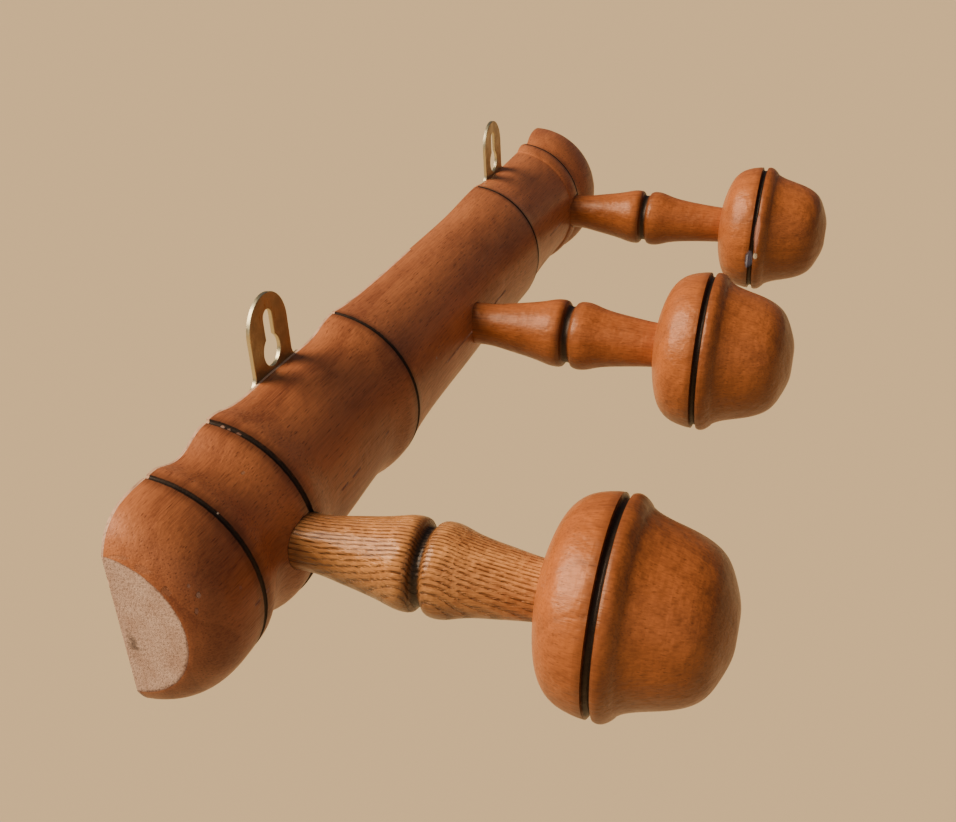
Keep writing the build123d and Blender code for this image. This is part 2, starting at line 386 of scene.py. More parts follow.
@dataclass(frozen=True)
class TurnedWood:
    """A turned, stained and varnished wood.

    Colours are sRGB codes. Lengths are in millimetres, and a size is a length along the
    grain and a width across it. Real fibres, pores and ray flecks are several times finer
    than these, which are drawn as coarse as they need to show.
    """

    pale: str
    deep: str
    fleck: str
    ring_width: float
    ring_wander: float
    ring_strength: float
    fleck_size: tuple[float, float]
    fleck_strength: float
    pore_size: tuple[float, float]
    pore_strength: float
    blotch_size: float
    blotch_strength: float
    roughness: float
    coat: float
    coat_roughness: float
    relief: float
    ring_relief: float
    ripple: float
    ring_breaks: float = 0.0
    ring_drift: tuple[float, float] = (250 / 3, 20.0)
    blotch_stretch: float = 0.45
    scorch: str = "#120D0C"
    scorch_ragged: float = 0.35
    halo: str = "#4A2413"
    tan_strength: float = 0.5
    tan_reach: float = 2.6
    gleam: str = "#FFD8B8"  # yellowed varnish gleams warm

    def figure(self, tree: Tree, along: Socket, seed: float) -> Figure:
        """Draws the wood's patterns.

        Args:
            tree: the material's tree.
            along: the position from the pith in millimetres, with X along the grain.
            seed: sets this piece's patterns apart from the others'.

        Returns:
            The patterns.
        """
        # Rings wander slowly, stain takes unevenly in cloudy patches a few centimetres
        # long, and fibres are long thin streaks: each is noise drawn out along the grain.
        blotch = (self.blotch_size / self.blotch_stretch, self.blotch_size)
        noises = []
        for (length, width), apart, detail, roughness in (
            (self.ring_drift, 0.0, 3.0, 0.5), (blotch, 4.0, 4.0, 0.55), (self.pore_size, 9.0, 3.0, 0.6),
        ):
            spot = add(tree, VECTOR, {0: along, 1: (1 / length, 1 / width, 1 / width)}, operation="MULTIPLY")
            noises.append(add(
                tree, NOISE,
                {"Vector": spot, "W": seed + apart, "Scale": 1.0, "Detail": detail, "Roughness": roughness},
                **SEEDED,
            ))
        wander, cloud, fibre = noises
        cloud = add(tree, RANGE, {"Value": cloud, 1: 0.3, 2: 0.7}, **EASED)
        streak = add(tree, RANGE, {"Value": fibre, 1: 0.42, 2: 0.68})
        # Growth rings are shells round the pith. Each darkens slowly and ends at once.
        reach = from_pith(tree, along)
        ring = add(tree, MATH, {0: reach, 1: self.ring_width}, operation="DIVIDE")
        ring = add(tree, MATH, {0: wander, 1: self.ring_wander, 2: ring}, operation="MULTIPLY_ADD")
        year = add(tree, MATH, {0: ring}, operation="FRACT")
        late = add(tree, RANGE, {"Value": year, 1: 0.45, 2: 0.92}, **EASED)
        early = add(tree, RANGE, {"Value": year, 1: 0.92, 2: 1.0, 3: 1.0, 4: 0.0}, **EASED)
        # Open pores break the dark part of a ring into dashes.
        breaks = add(tree, RANGE, {"Value": fibre, 1: 0.4, 2: 0.58, 3: 1.0 - self.ring_breaks})
        ring = late
        for part in (early, breaks):
            ring = add(tree, MATH, {0: ring, 1: part}, operation="MULTIPLY")
        # Ray flecks: short dark dashes along the grain, some of them fainter.
        length, width = self.fleck_size
        spot = add(tree, VECTOR, {0: along, 1: (1 / length, 1 / width, 1 / width)}, operation="MULTIPLY")
        cell = add(tree, "ShaderNodeTexVoronoi", {"Vector": spot, "Scale": 1.0, "Randomness": 1.0},
                   out="Distance")
        lot = add(tree, SPLIT, {0: cell.node.outputs["Color"]})
        dash = add(tree, RANGE, {"Value": cell, 1: 0.12, 2: 0.38, 3: 1.0, 4: 0.0}, **EASED)
        dash = add(tree, MATH, {0: dash, 1: lot}, operation="MULTIPLY")
        return Figure(cloud, fibre, streak, ring, dash)

    def scorched(
        self, tree: Tree, along: Socket, seed: float, burn: tuple[float, float]
    ) -> list[Socket]:
        """Draws what the friction of a wire leaves: a black groove with tanned wood beside it.

        Args:
            tree: the material's tree.
            along: the position from the pith in millimetres, with X along the grain.
            seed: sets this piece's pattern apart from the others'.
            burn: how far from a groove's middle its black starts and stops to fade.

        Returns:
            How tanned and how burnt the wood is.
        """
        burnt_from, burnt_to = burn
        away = add(tree, "ShaderNodeAttribute", out="Fac", attribute_name="from_groove")
        ragged = add(tree, NOISE, {"Vector": along, "W": seed, "Scale": 0.9, "Detail": 3.0}, **SEEDED)
        away = add(tree, MATH, {0: ragged, 1: -self.scorch_ragged, 2: away}, operation="MULTIPLY_ADD")
        return [
            add(tree, RANGE, {"Value": away, 1: start, 2: stop, 3: strength, 4: 0.0}, **EASED)
            for start, stop, strength in (
                (burnt_to, burnt_to + self.tan_reach, self.tan_strength), (burnt_from, burnt_to, 1.0),
            )
        ]

    def dress(
        self,
        name: str,
        grain: GrainPlace,
        worn: tuple[Worn, ...] = (),
        seed: float = 0.0,
        burn: tuple[float, float] = (0.4, 0.85),
    ) -> bpy.types.Material:
        """Makes the material of one piece.

        Args:
            name: name of the material.
            grain: where its billet's pith lies.
            worn: rubbed and chipped places, in the piece's own coordinates.
            seed: sets this piece's patterns apart from the others'.
            burn: how far from a groove's middle its black starts and stops to fade.

        Returns:
            The material.
        """
        material, tree = blank_material(name)
        place = add(tree, "ShaderNodeTexCoord", out="Object")
        along = add(
            tree, MAPPING,
            {"Vector": place, "Location": metres(grain.pith), "Rotation": grain.turn, "Scale": (MM, MM, MM)},
            **AS_PLACE,
        )
        figure = self.figure(tree, along, seed)
        tanned, burnt = self.scorched(tree, along, seed, burn)
        tone: Socket | float = 0.0
        for part, strength in (
            (figure.cloud, self.blotch_strength), (figure.ring, self.ring_strength),
            (figure.streak, self.pore_strength),
        ):
            tone = add(tree, MATH, {0: part, 1: strength, 2: tone}, operation="MULTIPLY_ADD", use_clamp=True)
        flecks = add(tree, MATH, {0: figure.dash, 1: self.fleck_strength}, operation="MULTIPLY")
        covers = [(tone, self.deep), (flecks, self.fleck), (tanned, self.halo), (burnt, self.scorch)]
        bare: Socket | float = 0.0
        for spot in worn:
            near = add(tree, MAPPING,
                       {"Vector": place, "Location": metres(spot.at), "Scale": metres(spot.size)}, **AS_PLACE)
            crumb = add(tree, NOISE,
                        {"Vector": near, "W": seed, "Scale": 1.6, "Detail": 5.0, "Roughness": 0.7}, **SEEDED)
            near = add(tree, VECTOR, {0: near}, out="Value", operation="LENGTH")
            near = add(tree, MATH, {0: crumb, 1: spot.ragged * 2, 2: near}, operation="MULTIPLY_ADD")
            edge = {1: 0.75 + spot.ragged, 2: 1.05 + spot.ragged, 3: spot.strength, 4: 0.0}
            near = add(tree, RANGE, {"Value": near, **edge}, **EASED)
            covers.append((near, spot.shade))
            bare = add(tree, MATH, {0: bare, 1: near}, operation="MAXIMUM")
        base: Socket | tuple[float, ...] = colour(self.pale)
        for cover, shade in covers:
            base = add(tree, MIX, {0: cover, 6: base, 7: colour(shade)}, data_type="RGBA")
        # Cloudy stain, pores, scorched places and bare wood are duller.
        ends = {3: self.roughness - 0.05, 4: self.roughness + 0.07}
        gloss = add(tree, RANGE, {"Value": figure.cloud, 1: 0.0, 2: 1.0, **ends})
        for part, duller in ((figure.streak, 0.08), (burnt, 0.2), (bare, 0.4)):
            gloss = add(tree, MATH, {0: part, 1: duller, 2: gloss}, operation="MULTIPLY_ADD")
        # The varnish sinks a little into pores, faint rings stay from the gouge, and the
        # surface ripples slowly.
        run = add(tree, SPLIT, {0: along}, out="X")
        tool = add(tree, NOISE, {"Vector": run, "Scale": 0.8, "Detail": 2.0}, noise_dimensions="3D")
        ripple = add(tree, NOISE, {"Vector": along, "W": seed, "Scale": 0.28, "Detail": 2.0}, **SEEDED)
        height: Socket | float = 0.0
        for part, rise in (
            (figure.fibre, -0.5), (tool, 0.25), (figure.dash, -0.12), (figure.ring, -self.ring_relief),
            (ripple, self.ripple), (bare, -1.5),
        ):
            height = add(tree, MATH, {0: part, 1: rise, 2: height}, operation="MULTIPLY_ADD")
        bump = add(tree, BUMP, {"Height": height, "Strength": self.relief, "Distance": WOOD_RELIEF * MM})
        shader = add(tree, SHADER,
                     {"Base Color": base, "Roughness": gloss, "Normal": bump, "IOR": WOOD_IOR,
                      "Specular Tint": colour(self.gleam),
                      "Coat Weight": self.coat, "Coat Roughness": self.coat_roughness})
        add(tree, OUTPUT, {"Surface": shader})
        return material


# Beech, turned and wiped with red-brown stain under satin varnish: an even, fine
# surface covered in short dark ray flecks, with cloudy stain.
STAINED_BEECH = TurnedWood(
    pale="#E08850", deep="#925030", fleck="#57281A",
    ring_width=7.0, ring_wander=2.2, ring_strength=0.22,
    fleck_size=(4.8, 0.55), fleck_strength=0.62,
    pore_size=(14.0, 0.42), pore_strength=0.34,
    blotch_size=20.0, blotch_strength=0.6,
    roughness=0.45, coat=0.14, coat_roughness=0.26, relief=0.7, ring_relief=0.1, ripple=1.8,
)
# The same beech with a lighter honey stain and more varnish: warmer and glossier.
HONEY_BEECH = TurnedWood(
    pale="#C67036", deep="#7A4020", fleck="#4E2612",
    ring_width=6.0, ring_wander=2.0, ring_strength=0.16,
    fleck_size=(4.2, 0.46), fleck_strength=0.55,
    pore_size=(14.0, 0.5), pore_strength=0.38,
    blotch_size=15.0, blotch_strength=0.3,
    roughness=0.38, coat=0.12, coat_roughness=0.2, relief=0.9, ring_relief=0.15, ripple=3.0,
)
# Ash, turned from a slow-grown billet: bold dark lines of open pores between pale
# bands, which run into arches where the cones cut across them.
STAINED_ASH = TurnedWood(
    pale="#F0A45C", deep="#884822", fleck="#5A2E10",
    ring_width=0.95, ring_wander=3.4, ring_strength=0.42, ring_breaks=0.9,
    fleck_size=(3.6, 0.42), fleck_strength=0.6,
    pore_size=(6.0, 0.45), pore_strength=0.3,
    blotch_size=9.0, blotch_strength=0.5,
    roughness=0.27, coat=0.18, coat_roughness=0.14, relief=1.3, ring_relief=1.6, ripple=3.0,
)


@dataclass(frozen=True)
class SawnBeech:
    """Bare beech straight from the saw: pale, dull, with pores and saw marks.

    Lengths are in millimetres. Real pores are about 0.1 mm wide, so these are drawn as
    coarse as they need to show.
    """

    pale: str = "#FFD0A8"
    deep: str = "#DAA884"
    pore: str = "#7E543C"
    grime: str = "#6E5846"
    stain: str = "#7E4021"
    ring_width: float = 2.8
    ring_wander: float = 3.0
    pore_size: float = 0.55
    pore_stretch: float = 0.08
    pore_strength: float = 0.55
    mark_pitch: float = 1.6
    smudge_size: tuple[float, float, float] = (20.0, 2.6, 5.0)
    torn_depth: float = 0.25

    def dress(
        self, name: str, pith: tuple[float, float, float], smudge: tuple[float, float, float]
    ) -> bpy.types.Material:
        """Makes the material of the sawn faces.

        Args:
            name: name of the material.
            pith: centre of the growth rings, in millimetres.
            smudge: centre of a dark hand mark, in millimetres.

        Returns:
            The material.
        """
        material, tree = blank_material(name)
        place = add(tree, "ShaderNodeTexCoord", out="Object")
        grain = {"Vector": place, "Location": metres(pith), "Scale": (MM, MM, MM)}
        grain = add(tree, MAPPING, grain, **AS_PLACE)
        reach = from_pith(tree, grain)
        cloud = add(tree, NOISE, {"Vector": grain, "Scale": 0.2, "Detail": 4.0})
        ring = add(tree, MATH, {0: cloud, 1: self.ring_wander, 2: reach}, operation="MULTIPLY_ADD")
        ring = add(tree, MATH, {0: ring, 1: self.ring_width}, operation="DIVIDE")
        ring = add(tree, MATH, {0: ring}, operation="FRACT")
        ring = add(tree, RANGE, {"Value": ring, 1: 0.5, 2: 1.0, 3: 0.0, 4: 0.16})
        tone = add(tree, RANGE, {"Value": cloud, 1: 0.3, 2: 0.7, 3: 0.0, 4: 0.8})
        tone = add(tree, MATH, {0: tone, 1: ring}, operation="ADD", use_clamp=True)
        # Along the trunk the pores are long, so only the sawn end shows them as dots.
        pore = (self.pore_stretch / self.pore_size, 1 / self.pore_size, 1 / self.pore_size)
        fine = add(tree, VECTOR, {0: grain, 1: pore}, operation="MULTIPLY")
        dots = add(tree, NOISE, {"Vector": fine, "Scale": 1.0, "Detail": 3.0, "Roughness": 0.7})
        pores = add(tree, RANGE, {"Value": dots, 1: 0.5, 2: 0.68, 3: 0.0, 4: self.pore_strength})
        near = {"Vector": place, "Location": metres(smudge), "Scale": metres(self.smudge_size)}
        near = add(tree, MAPPING, near, **AS_PLACE)
        near = add(tree, VECTOR, {0: near}, out="Value", operation="LENGTH")
        crumb = add(tree, NOISE, {"Vector": grain, "Scale": 0.6, "Detail": 6.0, "Roughness": 0.75})
        near = add(tree, MATH, {0: crumb, 1: 3.6, 2: near}, operation="MULTIPLY_ADD")
        near = add(tree, RANGE, {"Value": near, 1: 1.6, 2: 2.7, 3: 0.85, 4: 0.0}, **EASED)
        # Stain creeps a little over the rim of the cut.
        rim = add(tree, "ShaderNodeAttribute", out="Fac", attribute_name="fill")
        for part, uneven in ((dots, 0.06), (cloud, 0.05)):
            rim = add(tree, MATH, {0: part, 1: uneven, 2: rim}, operation="MULTIPLY_ADD")
        rim = add(tree, RANGE, {"Value": rim, 1: 1.02, 2: 1.06, 3: 0.0, 4: 0.8})
        base: Socket | tuple[float, ...] = colour(self.pale)
        for cover, shade in ((tone, self.deep), (pores, self.pore), (near, self.grime), (rim, self.stain)):
            base = add(tree, MIX, {0: cover, 6: base, 7: colour(shade)}, data_type="RGBA")
        marks = WAVE_LENGTH / self.mark_pitch
        wave = add(tree, "ShaderNodeTexWave",
                   {"Vector": grain, "Scale": marks, "Distortion": 6.0, "Detail": 3.0},
                   out="Fac", wave_type="BANDS", bands_direction="Z")
        height: Socket | float = 0.0
        for part, rise in ((dots, -1.2), (wave, 0.15)):
            height = add(tree, MATH, {0: part, 1: rise, 2: height}, operation="MULTIPLY_ADD")
        bump = add(tree, BUMP, {"Height": height, "Strength": 0.5, "Distance": self.torn_depth * MM})
        gloss = add(tree, RANGE, {"Value": dots, 1: 0.0, 2: 1.0, 3: 0.72, 4: 0.95})
        shader = add(tree, SHADER, {"Base Color": base, "Roughness": gloss, "Normal": bump, "IOR": WOOD_IOR})
        add(tree, OUTPUT, {"Surface": shader})
        return material


@dataclass(frozen=True)
class PlatedSteel:
    """Pressed or rolled steel with a thin brass or zinc coat, dulled by handling.

    Lengths are in millimetres. Real hair lines are finer than a tenth of one, so these
    are drawn as coarse as they need to show.
    """

    bright: str
    dull: str
    # Colour of the faces that stand across the wall: a painted highlight on a plate's edges, a darker tone on
    # a screw's slot walls.
    edge: str
    roughness: float
    scratch_pitch: float
    scratch_length: float = 20.0
    scratch_depth: float = 0.04

    def dress(self, name: str) -> bpy.types.Material:
        """Makes the material.

        Args:
            name: name of the material.

        Returns:
            The material.
        """
        material, tree = blank_material(name)
        place = add(tree, "ShaderNodeTexCoord", out="Object")
        scaled = add(tree, VECTOR, {0: place, 1: (1 / MM, 1 / MM, 1 / MM)}, operation="MULTIPLY")
        cloud = add(tree, NOISE, {"Vector": scaled, "Scale": 0.22, "Detail": 5.0, "Roughness": 0.6})
        tarnish = add(tree, RANGE, {"Value": cloud, 1: 0.35, 2: 0.65}, **EASED)
        # Rolling leaves hair lines up the strip.
        pitch = (1 / self.scratch_pitch, 1 / self.scratch_pitch, 1 / self.scratch_length)
        lines = add(tree, VECTOR, {0: scaled, 1: pitch}, operation="MULTIPLY")
        lines = add(tree, NOISE, {"Vector": lines, "Scale": 1.0, "Detail": 3.0, "Roughness": 0.7})
        hair = add(tree, RANGE, {"Value": lines, 1: 0.3, 2: 0.7, 3: -0.08, 4: 0.1})
        # Faces that stand across the wall are a plate's sheared edges and a screw's slot. On a plate their
        # colour is a painted highlight; on a screw it is a darker tone.
        facing = add(tree, "ShaderNodeNewGeometry", out="Normal")
        facing = add(tree, SPLIT, {0: facing}, out="Y")
        facing = add(tree, MATH, {0: facing}, operation="ABSOLUTE")
        # This mask carries the painted highlight on plate edges and the darker tone on screw slot walls.
        standing = add(tree, RANGE, {"Value": facing, 1: 0.45, 2: 0.97, 3: 0.9, 4: 0.0}, **EASED)
        base: Socket | tuple[float, ...] = colour(self.bright)
        for cover, shade in ((tarnish, self.dull), (standing, self.edge)):
            base = add(tree, MIX, {0: cover, 6: base, 7: colour(shade)}, data_type="RGBA")
        gloss = add(tree, MATH, {0: hair, 1: self.roughness}, operation="ADD")
        gloss = add(tree, MATH, {0: tarnish, 1: 0.12, 2: gloss}, operation="MULTIPLY_ADD")
        bump = add(tree, BUMP, {"Height": lines, "Strength": 0.25, "Distance": self.scratch_depth * MM})
        shader = add(tree, SHADER, {"Base Color": base, "Metallic": 1.0, "Roughness": gloss, "Normal": bump})
        add(tree, OUTPUT, {"Surface": shader})
        return material


# Mild steel strip, pressed and brassed: a warm olive gold, with a painted highlight in pale gold on its
# edges.
BRASSED_STEEL = PlatedSteel(
    bright="#A08C70", dull="#8A7860", edge="#DACFA8", roughness=0.3, scratch_pitch=0.3
)
# Rolled steel wood screws, brassed and gone dull, darker on the faces that stand across the wall, which are
# mostly their slots' walls.
SCREW_STEEL = PlatedSteel(
    bright="#C0AE86", dull="#8E7C5C", edge="#3A332A", roughness=0.34, scratch_pitch=0.4
)


# ---- turning ----------------------------------------------------------------
TURNING_INPUTS = {
    "Steps Round": ("NodeSocketInt", 96),
    "Steps Across": ("NodeSocketInt", 25),
    "Sawn": ("NodeSocketBool", False),
    "Axis To Saw": ("NodeSocketFloat", 0.0),
    "Unevenness": ("NodeSocketFloat", 0.0),
    "Seed": ("NodeSocketFloat", 0.0),
    "Thread Height": ("NodeSocketFloat", 0.0),
    "Thread Pitch": ("NodeSocketFloat", 0.001),
    "Thread Start": ("NodeSocketFloat", 0.0),
    "Thread End": ("NodeSocketFloat", 1.0),
    "Surface": ("NodeSocketMaterial", None),
    "Sawn Surface": ("NodeSocketMaterial", None),
}
# The lathe's own lengths, in millimetres, and how it tells its faces apart.
UNEVEN_RUN = 22.0  # over which a piece changes from thick to thin
THREAD_RISE = 1.2  # over which a thread starts
THREAD_FADE = 2.5  # over which it ends at the point
ON_AXIS = 0.1  # a smaller radius is an end's centre and stays where it is
RIM_FILL = 0.999  # a place that is filled less lies inside a section, on an end's face
FLAT_BACK = 0.9999  # a face whose normal is this nearly along Y is the sawn back


def turning_tree() -> Tree:
    """Builds the lathe: it turns a template about X, and may saw the piece flat.

    The template is a line of points. X is the distance along the axis, Y the radius,
    and Z says how far a section is filled, from 0 at its centre to 1 at its rim.

    Returns:
        The node tree, with one input for each size in TURNING_INPUTS.
    """
    tree = bpy.data.node_groups.new("turning", "GeometryNodeTree")
    tree.interface.new_socket("Template", in_out="INPUT", socket_type="NodeSocketGeometry")
    for name, (kind, value) in TURNING_INPUTS.items():
        socket = tree.interface.new_socket(name, in_out="INPUT", socket_type=kind)
        if value is not None:
            socket.default_value = value
    tree.interface.new_socket("Piece", in_out="OUTPUT", socket_type="NodeSocketGeometry")
    source = tree.nodes.new("NodeGroupInput").outputs
    steps, template = source["Steps Round"], source["Template"]
    count = add(tree, "GeometryNodeAttributeDomainSize", {"Geometry": template}, out="Point Count")
    index = add(tree, "GeometryNodeInputIndex")
    position = add(tree, "GeometryNodeInputPosition")

    # One row of the grid is a section, one column runs along the piece.
    grid = add(tree, GRID, {"Vertices X": count, "Vertices Y": steps}, out="Mesh")
    row = add(tree, WHOLE, {0: index, 1: steps}, operation="DIVIDE_FLOOR")
    column = add(tree, WHOLE, {0: index, 1: steps}, operation="MODULO")
    knot = add(tree, SAMPLE, {"Geometry": template, "Value": position, "Index": row},
               data_type="FLOAT_VECTOR")
    split = add(tree, SPLIT, {0: knot}).node.outputs
    station, radius, fill = split["X"], split["Y"], split["Z"]
    gap = add(tree, NAMED, {"Name": "from_groove"}, data_type="FLOAT")
    gap = add(tree, SAMPLE, {"Geometry": template, "Value": gap, "Index": row}, data_type="FLOAT")
    widest = add(tree, MATH, {0: steps, 1: 1.0}, operation="SUBTRACT")
    share = add(tree, MATH, {0: column, 1: widest}, operation="DIVIDE")
    share = add(tree, MATH, {0: share, 1: 2.0, 2: -1.0}, operation="MULTIPLY_ADD")

    # A hand-turned piece is never quite round.
    lap = add(tree, MATH, {0: share, 1: math.pi}, operation="MULTIPLY")
    lap_cos = add(tree, MATH, {0: lap}, operation="COSINE")
    lap_sin = add(tree, MATH, {0: lap}, operation="SINE")
    run = add(tree, MATH, {0: station, 1: 1 / (UNEVEN_RUN * MM)}, operation="MULTIPLY")
    spot = add(tree, JOIN, {"X": run, "Y": lap_cos, "Z": lap_sin})
    drift = add(tree, NOISE, {"Vector": spot, "W": source["Seed"], "Scale": 0.7, "Detail": 2.0}, **SEEDED)
    drift = add(tree, MATH, {0: drift, 1: source["Unevenness"]}, operation="MULTIPLY")

    # A thread is a ridge that gains one pitch in each turn.
    helix = add(tree, MATH, {0: station, 1: source["Thread Pitch"]}, operation="DIVIDE")
    helix = add(tree, MATH, {0: share, 1: 0.5, 2: helix}, operation="MULTIPLY_ADD")
    for operation, value in (("PINGPONG", 0.5), ("MULTIPLY", 2.0), ("POWER", 0.6)):
        helix = add(tree, MATH, {0: helix, 1: value}, operation=operation)
    since = add(tree, MATH, {0: station, 1: source["Thread Start"]}, operation="SUBTRACT")
    until = add(tree, MATH, {0: source["Thread End"], 1: station}, operation="SUBTRACT")
    valley = helix
    for past, fade in ((since, THREAD_RISE), (until, THREAD_FADE)):
        part = add(tree, RANGE, {"Value": past, 1: 0.0, 2: fade * MM})
        valley = add(tree, MATH, {0: valley, 1: part}, operation="MULTIPLY")
    valley = add(tree, MATH, {0: valley, 1: source["Thread Height"]}, operation="MULTIPLY")
    taken = add(tree, MATH, {0: drift, 1: valley}, operation="ADD")
    off_axis = add(tree, MATH, {0: radius, 1: ON_AXIS * MM}, operation="GREATER_THAN")
    taken = add(tree, MATH, {0: taken, 1: off_axis}, operation="MULTIPLY")
    radius = add(tree, MATH, {0: radius, 1: taken}, operation="SUBTRACT")

    # The saw cut is a chord, so the arc stops where it meets it.
    saw = source["Axis To Saw"]
    ratio = add(tree, MATH, {0: saw, 1: radius}, operation="DIVIDE")
    chord = add(tree, MATH, {0: ratio}, operation="ARCCOSINE")
    reach = add(tree, SWITCH, {"Switch": source["Sawn"], "False": math.pi, "True": chord},
                input_type="FLOAT")
    angle = add(tree, MATH, {0: share, 1: reach}, operation="MULTIPLY")
    back = add(tree, MATH, {0: angle}, operation="COSINE")
    for factor in (radius, -1.0):
        back = add(tree, MATH, {0: back, 1: factor}, operation="MULTIPLY")
    side = add(tree, MATH, {0: angle}, operation="SINE")
    side = add(tree, MATH, {0: side, 1: radius}, operation="MULTIPLY")
    rim = add(tree, JOIN, {"X": station, "Y": back, "Z": side})
    middle = add(tree, MATH, {0: saw, 1: -1.0}, operation="MULTIPLY")
    middle = add(tree, JOIN, {"X": station, "Y": middle})
    point = add(tree, MIX, {0: fill, 4: middle, 5: rim}, data_type="VECTOR")
    shell = grid
    for name, value in (("from_groove", gap), ("fill", fill)):
        shell = add(tree, STORE, {"Geometry": shell, "Name": name, "Value": value},
                    data_type="FLOAT", domain="POINT")
    shell = add(tree, MOVE, {"Geometry": shell, "Position": point})

    # The sawn back joins the two long edges of the shell.
    across = source["Steps Across"]
    plank = add(tree, GRID, {"Vertices X": count, "Vertices Y": across}, out="Mesh")
    row = add(tree, WHOLE, {0: index, 1: across}, operation="DIVIDE_FLOOR")
    column = add(tree, WHOLE, {0: index, 1: across}, operation="MODULO")
    first = add(tree, WHOLE, {0: row, 1: steps}, operation="MULTIPLY")
    final = add(tree, WHOLE, {0: steps, 1: 1}, operation="SUBTRACT")
    final = add(tree, WHOLE, {0: first, 1: final}, operation="ADD")
    low, high = (
        add(tree, SAMPLE, {"Geometry": shell, "Value": position, "Index": edge}, data_type="FLOAT_VECTOR")
        for edge in (first, final)
    )
    widest = add(tree, MATH, {0: across, 1: 1.0}, operation="SUBTRACT")
    share = add(tree, MATH, {0: column, 1: widest}, operation="DIVIDE")
    point = add(tree, MIX, {0: share, 4: low, 5: high}, data_type="VECTOR")
    for name, value in (("from_groove", FAR_AWAY), ("fill", 0.0)):
        plank = add(tree, STORE, {"Geometry": plank, "Name": name, "Value": value},
                    data_type="FLOAT", domain="POINT")
    plank = add(tree, MOVE, {"Geometry": plank, "Position": point})
    plank = add(tree, "GeometryNodeFlipFaces", {"Mesh": plank})
    plank = add(tree, SWITCH, {"Switch": source["Sawn"], "True": plank}, input_type="GEOMETRY")
    joined = tree.nodes.new("GeometryNodeJoinGeometry")
    for part in (shell, plank):
        tree.links.new(part, joined.inputs[0])
    body = add(tree, "GeometryNodeMergeByDistance", {"Geometry": joined.outputs[0], "Distance": SAME_POINT})

    # The first end and the flat back are bare wood, and the rounded end is stained.
    filled = add(tree, NAMED, {"Name": "fill"}, data_type="FLOAT")
    inside = add(tree, COMPARE, {0: filled, 1: RIM_FILL}, operation="LESS_THAN")
    run = add(tree, SPLIT, {0: position}, out="X")
    near_start = add(tree, COMPARE, {0: run, 1: 0.0}, operation="LESS_THAN")
    facing = add(tree, SPLIT, {0: add(tree, "GeometryNodeInputNormal")}, out="Y")
    facing = add(tree, MATH, {0: facing}, operation="ABSOLUTE")
    bare = add(tree, COMPARE, {0: facing, 1: FLAT_BACK}, operation="GREATER_THAN")
    end_face = add(tree, LOGIC, {0: inside, 1: near_start}, operation="AND")
    bare = add(tree, LOGIC, {0: end_face, 1: bare}, operation="OR")
    bare = add(tree, LOGIC, {0: bare, 1: source["Sawn"]}, operation="AND")
    body = add(tree, "GeometryNodeRealizeInstances", {"Geometry": body})
    body = add(tree, SURFACE, {"Geometry": body, "Material": source["Surface"]})
    body = add(tree, SURFACE, {"Geometry": body, "Selection": bare, "Material": source["Sawn Surface"]})
    add(tree, "NodeGroupOutput", {"Piece": body})
    return tree


@dataclass
class Template:
    """The turner's template of one piece: points along the axis, with its grooves."""

    points: list[tuple[float, float]] = field(default_factory=list)
    grooves: list[float] = field(default_factory=list)
    cap_rings: int = 0

    def to_object(self, name: str) -> bpy.types.Object:
        """Makes the line of points that the lathe follows.

        Args:
            name: name of the piece it is for.

        Returns:
            An object with that line.
        """
        rows = [(x, r, 1.0) for x, r in self.points]
        if self.cap_rings:
            start, end = self.points[0], self.points[-1]
            inner = [i / self.cap_rings for i in range(self.cap_rings)]
            rows = [(*start, f) for f in inner] + rows + [(*end, f) for f in reversed(inner)]
        mesh = bpy.data.meshes.new(f"{name}_template")
        mesh.from_pydata(
            [(x * MM, r * MM, f) for x, r, f in rows], [(i, i + 1) for i in range(len(rows) - 1)], []
        )
        gaps = mesh.attributes.new("from_groove", "FLOAT", "POINT")
        for i, (x, _, _) in enumerate(rows):
            gaps.data[i].value = min((abs(x - g) for g in self.grooves), default=FAR_AWAY)
        made = bpy.data.objects.new(f"{name}_template", mesh)
        bpy.context.scene.collection.objects.link(made)
        return made


class Lathe:
    """Turns templates into meshes with one shared node tree."""

    def __init__(self) -> None:
        """Builds the tree."""
        self.tree = turning_tree()

    def turn(self, name: str, template: Template, place: Matrix, sizes: dict) -> bpy.types.Object:
        """Turns one piece.

        Args:
            name: name of the piece.
            template: its template.
            place: where its axis starts and how it lies, in metres.
            sizes: values for the tree's inputs, by name.

        Returns:
            The piece as a plain mesh in its place.
        """
        holder = template.to_object(name)
        job = holder.modifiers.new("turning", "NODES")
        job.node_group = self.tree
        for item in self.tree.interface.items_tree:
            if item.in_out == "INPUT" and item.name in sizes:
                job[item.identifier] = sizes[item.name]
        piece = plain_mesh(holder, name)
        piece.data.transform(place)
        crisp(piece)
        return piece


def hand_over(piece: bpy.types.Object, node: str) -> None:
    """Lets a finished piece stand for its CAD node.

    Args:
        piece: the finished piece.
        node: the CAD node it replaces.
    """
    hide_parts(node)
    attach(piece, BODY)
    log.info("%s: %d faces", piece.name, len(piece.data.polygons))


